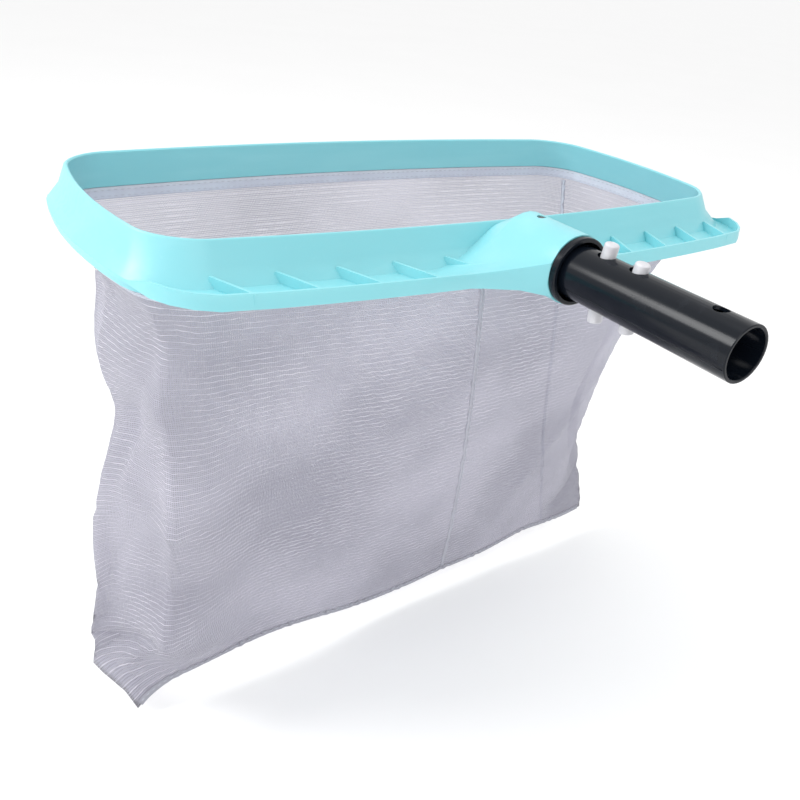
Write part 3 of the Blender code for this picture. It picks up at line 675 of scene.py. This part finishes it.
def make_teal():
    """Glossy moulded plastic with faint flow marks, fine grain, rubbed corners and painted shade in its
    deep corners.
    """
    material, tree = node_material("teal_moulding")
    where = object_places(tree)
    flow = noise(tree, stretched(tree, where, (9.0, 26.0, 60.0)), 1.0, 3.0)
    grain = noise(tree, where, 1400.0, 2.0)
    speck = noise(tree, where, 260.0, 4.0, 0.6)
    # Painted shade: ambient occlusion darkens the colour towards the deep teal where walls and ribs
    # stand close.
    painted_shade_occlusion = put(tree, "AmbientOcclusion", (("Distance", 0.006),), samples=8).outputs["AO"]
    colour = blend_colours(tree, ramp(tree, painted_shade_occlusion, 0.15, 0.60, 1.0, 0.0), TEAL, TEAL_PAINTED_SHADE)
    colour = blend_colours(tree, ramp(tree, flow, 0.45, 0.75, 0.0, 0.35), colour, TEAL_PALE)
    colour = blend_colours(tree, ramp(tree, speck, 0.62, 0.80, 0.0, 0.30), colour, TEAL_PALE)
    rough = maths(tree, "ADD", ramp(tree, flow, 0.3, 0.7, 0.30, 0.40),
                  ramp(tree, speck, 0.4, 0.8, 0.0, 0.12))
    shader = surface(tree, colour, rough, ("Normal", bumps(tree, grain, 0.35, 0.00006)), ("IOR", 1.49),
                     ("Subsurface Weight", 0.12), ("Subsurface Radius", (0.002, 0.004, 0.004)),
                     ("Subsurface Scale", 1.0))
    finish_material(tree, shader)
    return material


BLACK = (0.004, 0.006, 0.010, 1)
BLACK_SCUFFED = (0.009, 0.012, 0.018, 1)


def make_black():
    """Glossy black moulding with fine drag marks along its length and handling scuffs."""
    material, tree = node_material("black_moulding")
    where = object_places(tree)
    drag = noise(tree, stretched(tree, where, (900.0, 12.0, 900.0)), 1.0, 3.0)
    scuff = noise(tree, where, 55.0, 6.0, 0.65)
    colour = blend_colours(tree, ramp(tree, scuff, 0.55, 0.75), BLACK, BLACK_SCUFFED)
    rough = maths(tree, "ADD", ramp(tree, drag, 0.3, 0.8, 0.15, 0.23),
                  ramp(tree, scuff, 0.5, 0.8, 0.0, 0.12))
    shader = surface(tree, colour, rough, ("Normal", bumps(tree, drag, 0.16, 0.00005)), ("IOR", 1.45),
                     ("Specular IOR Level", 0.27))
    finish_material(tree, shader)
    return material


NYLON = (0.54, 0.54, 0.57, 1)
NYLON_MILKY = (0.62, 0.62, 0.65, 1)


def make_nylon():
    """Milky white nylon of the sprung clip."""
    material, tree = node_material("white_moulding")
    where = object_places(tree)
    cloudy = noise(tree, where, 220.0, 3.0)
    colour = blend_colours(tree, ramp(tree, cloudy, 0.35, 0.7), NYLON, NYLON_MILKY)
    rough = ramp(tree, cloudy, 0.3, 0.8, 0.30, 0.46)
    grain = noise(tree, where, 1800.0, 2.0)
    shader = surface(tree, colour, rough, ("Normal", bumps(tree, grain, 0.3, 0.00005)),
                     ("Subsurface Weight", 0.35), ("Subsurface Radius", (0.003, 0.003, 0.003)),
                     ("Subsurface Scale", 1.0))
    finish_material(tree, shader)
    return material


# The two screw finishes: the colour of their dull spots and of the rest.
STEEL_PLATED = ((0.50, 0.50, 0.51, 1), (0.68, 0.68, 0.70, 1))
STEEL_BLACK = ((0.020, 0.022, 0.025, 1), (0.060, 0.062, 0.068, 1))


def make_steel(name, low, high):
    """Screw steel with dull spots."""
    material, tree = node_material(name)
    where = object_places(tree)
    dull = noise(tree, where, 700.0, 4.0)
    colour = blend_colours(tree, dull, low, high)
    rough = ramp(tree, dull, 0.3, 0.8, 0.22, 0.48)
    finish_material(tree, surface(tree, colour, rough, ("Metallic", 1.0)))
    return material


# The netting, in metres: fine threads both ways, with a heavier pale thread every third course.
THREAD_PITCH = 0.00115
COURSE_PITCH = 0.00345
NET_GREY = (0.575, 0.565, 0.655, 1)
# NET_SHADE is painted shade for the gaps between the threads, and also the dark end of the cloth's
# random tone.
NET_SHADE = (0.340, 0.335, 0.405, 1)
NET_PALE = (0.80, 0.78, 0.86, 1)
# Where on the flat cut, in metres from the left side, the heavy courses hardly show.
SMOOTH_AT = 0.50


def threads(tree, place, pitch, thick):
    """1 on a thread and 0 between threads that lie pitch apart."""
    wave = maths(tree, "PINGPONG", place, pitch / 2)
    return ramp(tree, wave, pitch * thick * 0.35, pitch * thick, 1.0, 0.0)


def make_netting():
    """Open plain weave: pale heavy courses over a fine grid, see-through between its threads."""
    material, tree = node_material("mesh_cloth_woven")
    cut = put(tree, "UVMap", uv_map="flat_cut").outputs[0]
    wander = noise(tree, stretched(tree, cut, (10.0, 30.0, 1.0)), 1.0, 2.0)
    parts = put(tree, "SeparateXYZ", ((0, cut),)).outputs
    across = parts[0]
    down = maths(tree, "ADD", parts[1], ramp(tree, wander, 0.0, 1.0, -0.0004, 0.0004))
    fine = maths(tree, "MAXIMUM", threads(tree, across, THREAD_PITCH, 0.30),
                 threads(tree, down, THREAD_PITCH, 0.30))
    course = threads(tree, down, COURSE_PITCH, 0.10)
    patchy = noise(tree, stretched(tree, cut, (16.0, 24.0, 1.0)), 1.0, 3.0)
    patch = ramp(tree, patchy, 0.34, 0.58, 0.15, 1.0)
    far = maths(tree, "ABSOLUTE", maths(tree, "SUBTRACT", across, SMOOTH_AT))
    patch = maths(tree, "MULTIPLY", patch, ramp(tree, far, 0.06, 0.15, 0.15, 1.0))
    uneven = noise(tree, stretched(tree, cut, (110.0, 900.0, 1.0)), 1.0, 2.0)
    slub = ramp(tree, uneven, 0.35, 0.65, 0.35, 1.0)
    pale = maths(tree, "MULTIPLY", maths(tree, "MULTIPLY", course, patch), slub)
    cloudy = noise(tree, stretched(tree, cut, (7.0, 9.0, 1.0)), 1.0, 2.0)
    ground = blend_colours(tree, ramp(tree, cloudy, 0.3, 0.7), NET_SHADE, NET_GREY)
    # Painted shade: between the threads the colour falls to NET_SHADE, standing in for the shade seen
    # through the gaps.
    ground = blend_colours(tree, fine, NET_SHADE, ground)
    colour = blend_colours(tree, pale, ground, NET_PALE)
    solid = maths(tree, "MAXIMUM", ramp(tree, fine, 0.0, 1.0, 0.42, 0.97), course)
    height = maths(tree, "ADD", fine, maths(tree, "MULTIPLY", course, 0.8))
    face = surface(tree, colour, 0.62, ("Normal", bumps(tree, height, 0.7, 0.00022)),
                   ("Sheen Weight", 0.25), ("Sheen Roughness", 0.5))
    glow = put(tree, "BsdfTranslucent", ((0, colour),)).outputs[0]
    clear = put(tree, "BsdfTransparent").outputs[0]
    finish_material(tree, mix_shaders(tree, solid, clear, mix_shaders(tree, 0.30, face, glow)))
    return material


# The sewn tapes: colour between the ribs, on the ribs, and where the cloth is worn.
HEM_TAPE = ((0.68, 0.70, 0.78, 1), (0.78, 0.81, 0.89, 1), (0.80, 0.86, 0.92, 1))
SEAM_TAPE = ((0.54, 0.54, 0.61, 1), (0.62, 0.62, 0.69, 1), (0.66, 0.67, 0.74, 1))
EDGE_TAPE = ((0.42, 0.42, 0.48, 1), (0.50, 0.50, 0.57, 1), (0.53, 0.54, 0.61, 1))


def make_tape(name, low, high, worn):
    """Close-woven binding of the hem and the seams."""
    material, tree = node_material(name)
    where = object_places(tree)
    ribs = put(tree, "TexWave", (("Vector", where), ("Scale", 520.0), ("Distortion", 1.2),
                                 ("Detail", 2.0)), bands_direction="DIAGONAL").outputs[1]
    cloudy = noise(tree, where, 30.0, 3.0)
    colour = blend_colours(tree, ribs, low, high)
    colour = blend_colours(tree, ramp(tree, cloudy, 0.4, 0.7, 0.0, 0.5), colour, worn)
    face = surface(tree, colour, 0.75, ("Normal", bumps(tree, ribs, 0.5, 0.0001)), ("Sheen Weight", 0.2))
    glow = put(tree, "BsdfTranslucent", ((0, colour),)).outputs[0]
    finish_material(tree, mix_shaders(tree, 0.35, face, glow))
    return material


THREAD = (0.50, 0.52, 0.59, 1)
THREAD_CREST = (0.68, 0.70, 0.77, 1)


def make_thread():
    """Twisted white sewing thread."""
    material, tree = node_material("sewing_thread")
    where = object_places(tree)
    twist = put(tree, "TexWave", (("Vector", where), ("Scale", 900.0), ("Distortion", 0.6)),
                bands_direction="DIAGONAL").outputs[1]
    colour = blend_colours(tree, twist, THREAD, THREAD_CREST)
    finish_material(tree, surface(tree, colour, 0.6, ("Normal", bumps(tree, twist, 0.4, 0.00006))))
    return material


PAPER = (0.93, 0.93, 0.93, 1)
PAPER_PALE = (0.95, 0.95, 0.95, 1)


def make_paper():
    material, tree = node_material("floor_paper")
    shade = noise(tree, object_places(tree), 3.0, 2.0)
    colour = blend_colours(tree, shade, PAPER, PAPER_PALE)
    finish_material(tree, surface(tree, colour, 0.9, ("Specular IOR Level", 0.2)))
    return material


def assign(node, material):
    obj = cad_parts[node]
    obj.data.materials.clear()
    obj.data.materials.append(material)


# Rounding of the CAD's edges: how far apart points are one point, in m, and what the bevel keeps to.
WELD_GAP = 0.00001
BEVEL_PROFILE = 0.6
BEVEL_SEGMENTS = 2
SHARP_ANGLE = 34.0
NORMAL_WEIGHT = 60


def soften(name, width):
    """Shade a CAD node smoothly and round its sharp edges by width in mm."""
    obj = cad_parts[name]
    mesh = obj.data
    for attribute in ("custom_normal", "sharp_edge", "sharp_face"):
        if mesh.attributes.get(attribute):
            mesh.attributes.remove(mesh.attributes[attribute])
    mesh.polygons.foreach_set("use_smooth", [True] * len(mesh.polygons))
    weld = obj.modifiers.new("Weld", "WELD")
    weld.merge_threshold = WELD_GAP
    bevel = obj.modifiers.new("Rounded edges", "BEVEL")
    bevel.width = width * MM
    bevel.profile = BEVEL_PROFILE
    bevel.segments = BEVEL_SEGMENTS
    bevel.limit_method = "ANGLE"
    bevel.angle_limit = math.radians(SHARP_ANGLE)
    bevel.use_clamp_overlap = True
    bevel.miter_outer = "MITER_ARC"
    normals = obj.modifiers.new("Normals", "WEIGHTED_NORMAL")
    normals.weight = NORMAL_WEIGHT


# Rounding in mm by the start of the CAD node's name.
ROUNDINGS = {"net_frame": 0.45, "handle_tube": 0.5, "hub_sleeve": 0.35, "handle_lock": 0.15,
             "clip": 0.35,
             "front_retainer": 0.3, "back_retainer": 0.3, "left_retainer": 0.3, "right_retainer": 0.3,
             "front_screw": 0.12, "back_screw": 0.12, "left_screw": 0.12, "right_screw": 0.12}


# The photo's camera: lens in mm, place in m, and its axes to the right, up and backwards.
CAMERA_LENS = 38.457
CAMERA_PLACE = Vector((-0.32918, -0.19149, 0.14385))
CAMERA_RIGHT = Vector((0.83014, -0.54686, 0.10869))
CAMERA_UP = Vector((0.18138, 0.44920, 0.87482))
CAMERA_BACK = Vector((-0.52723, -0.70651, 0.47209))


def make_camera():
    data = bpy.data.cameras.new("camera")
    data.lens = CAMERA_LENS
    data.sensor_width = 36.0
    data.clip_start = 0.01
    data.clip_end = 300
    camera = add_object("camera", data)
    place = Matrix((CAMERA_RIGHT, CAMERA_UP, CAMERA_BACK)).transposed().to_4x4()
    place.translation = CAMERA_PLACE
    camera.matrix_world = place
    bpy.context.scene.camera = camera


FLOOR_HALF = 80.0
FLOOR_GAP = 0.006


def make_floor():
    mesh = bpy.data.meshes.new("floor")
    half, z = FLOOR_HALF, CAD_LOW.z - FLOOR_GAP
    mesh.from_pydata([(-half, -half, z), (half, -half, z), (half, half, z), (-half, half, z)], [],
                     [(0, 1, 2, 3)])
    floor = add_object("floor", mesh)
    mesh.materials.append(make_paper())


# Soft round lights: name, place, what each aims at, width in m and power in W.
LIGHT_AIM = (0, RIM_CENTRE_Y * MM, -0.1)
LIGHTS = (("left_key", (-1.7, -0.1, 0.8), LIGHT_AIM, 1.2, 2.5),
          ("front_fill", (-0.5, -1.2, 1.3), LIGHT_AIM, 1.3, 5.5),
          ("overhead", (0.1, 0.2, 1.7), LIGHT_AIM, 1.6, 3),
          ("tube_highlight", (-1.15, 0.80, 0.85), (0, 0.05, 0), 0.7, 12))


def area_light(name, place, aim, size, power):
    data = bpy.data.lights.new(name, "AREA")
    data.shape = "DISK"
    data.size = size
    data.energy = power
    light = add_object(name, data)
    light.location = place
    light.rotation_mode = "QUATERNION"
    light.rotation_quaternion = (Vector(place) - Vector(aim)).to_track_quat("Z", "Y")


def make_lights():
    world = bpy.data.worlds.new("studio")
    bpy.context.scene.world = world
    world.use_nodes = True
    world.node_tree.nodes["Background"].inputs[0].default_value = (1, 1, 1, 1)
    world.node_tree.nodes["Background"].inputs[1].default_value = 1.0
    for light in LIGHTS:
        area_light(*light)
    bpy.context.scene.view_settings.view_transform = "Standard"


# Each upright seam's tape: its two ends on the cloth, as shares of the way round and down, and its
# width in mm.
FRONT_TAPE = ((0.234, 0.005), (0.304, 0.985), 3.4)
CORNER_TAPE = ((0.566, 0.005), (0.560, 0.985), 3.0)


def main():
    make_camera()
    make_floor()
    make_lights()
    teal, black, white = make_teal(), make_black(), make_nylon()
    steel = make_steel("screw_steel_plated", *STEEL_PLATED)
    dark_steel = make_steel("screw_steel_black", *STEEL_BLACK)
    hem_cloth = make_tape("hem_tape_woven", *HEM_TAPE)
    seam_cloth = make_tape("seam_tape_woven", *SEAM_TAPE)
    edge_cloth = make_tape("edge_tape_woven", *EDGE_TAPE)
    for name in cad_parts:
        if name.endswith("retainer") or name == "net_frame":
            assign(name, teal)
        elif name == "handle_lock_screw":
            assign(name, dark_steel)
        elif "screw" in name:
            assign(name, steel)
        elif name.startswith("clip"):
            assign(name, white)
        else:
            assign(name, black)
    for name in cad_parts:
        for start, width in ROUNDINGS.items():
            if name.startswith(start):
                soften(name, width)
    grid = start_shape()
    bag = bag_mesh("mesh_bag", settle_guess(grid))
    hang(bag)
    netting, thread = make_netting(), make_thread()
    rows = settled_rows(bag)
    hem_fold = make_hem_fold()
    front_tape, front_lines = make_ribbon("front_seam_tape", rows, *FRONT_TAPE)
    corner_tape, corner_lines = make_ribbon("corner_seam_tape", rows, *CORNER_TAPE)
    binding, binding_lines = make_binding(rows)
    stitches = make_stitches("seam_stitches", front_lines + corner_lines + binding_lines)
    hem_stitches = make_stitches("hem_stitches", hem_stitch_lines())
    # The corner seam's tape takes the paler hem tape rather than the seam tape: painted light, a lighter
    # copy that offsets the shade the corner tape lies in.
    for piece, material in ((bag, netting), (hem_fold, hem_cloth), (front_tape, seam_cloth),
                            (corner_tape, hem_cloth), (binding, edge_cloth), (stitches, thread),
                            (hem_stitches, thread)):
        piece.data.materials.append(material)
        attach(piece, "net")
    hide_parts("bag_front_panel", "bag_right_panel", "bag_back_panel", "bag_left_panel")
    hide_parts("bag_bottom_seam")
    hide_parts("hem_band")
    for degrees in PARTING_TURNS:
        line = make_parting_line(math.radians(degrees))
        line.data.materials.append(black)
        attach(line, "net")


main()
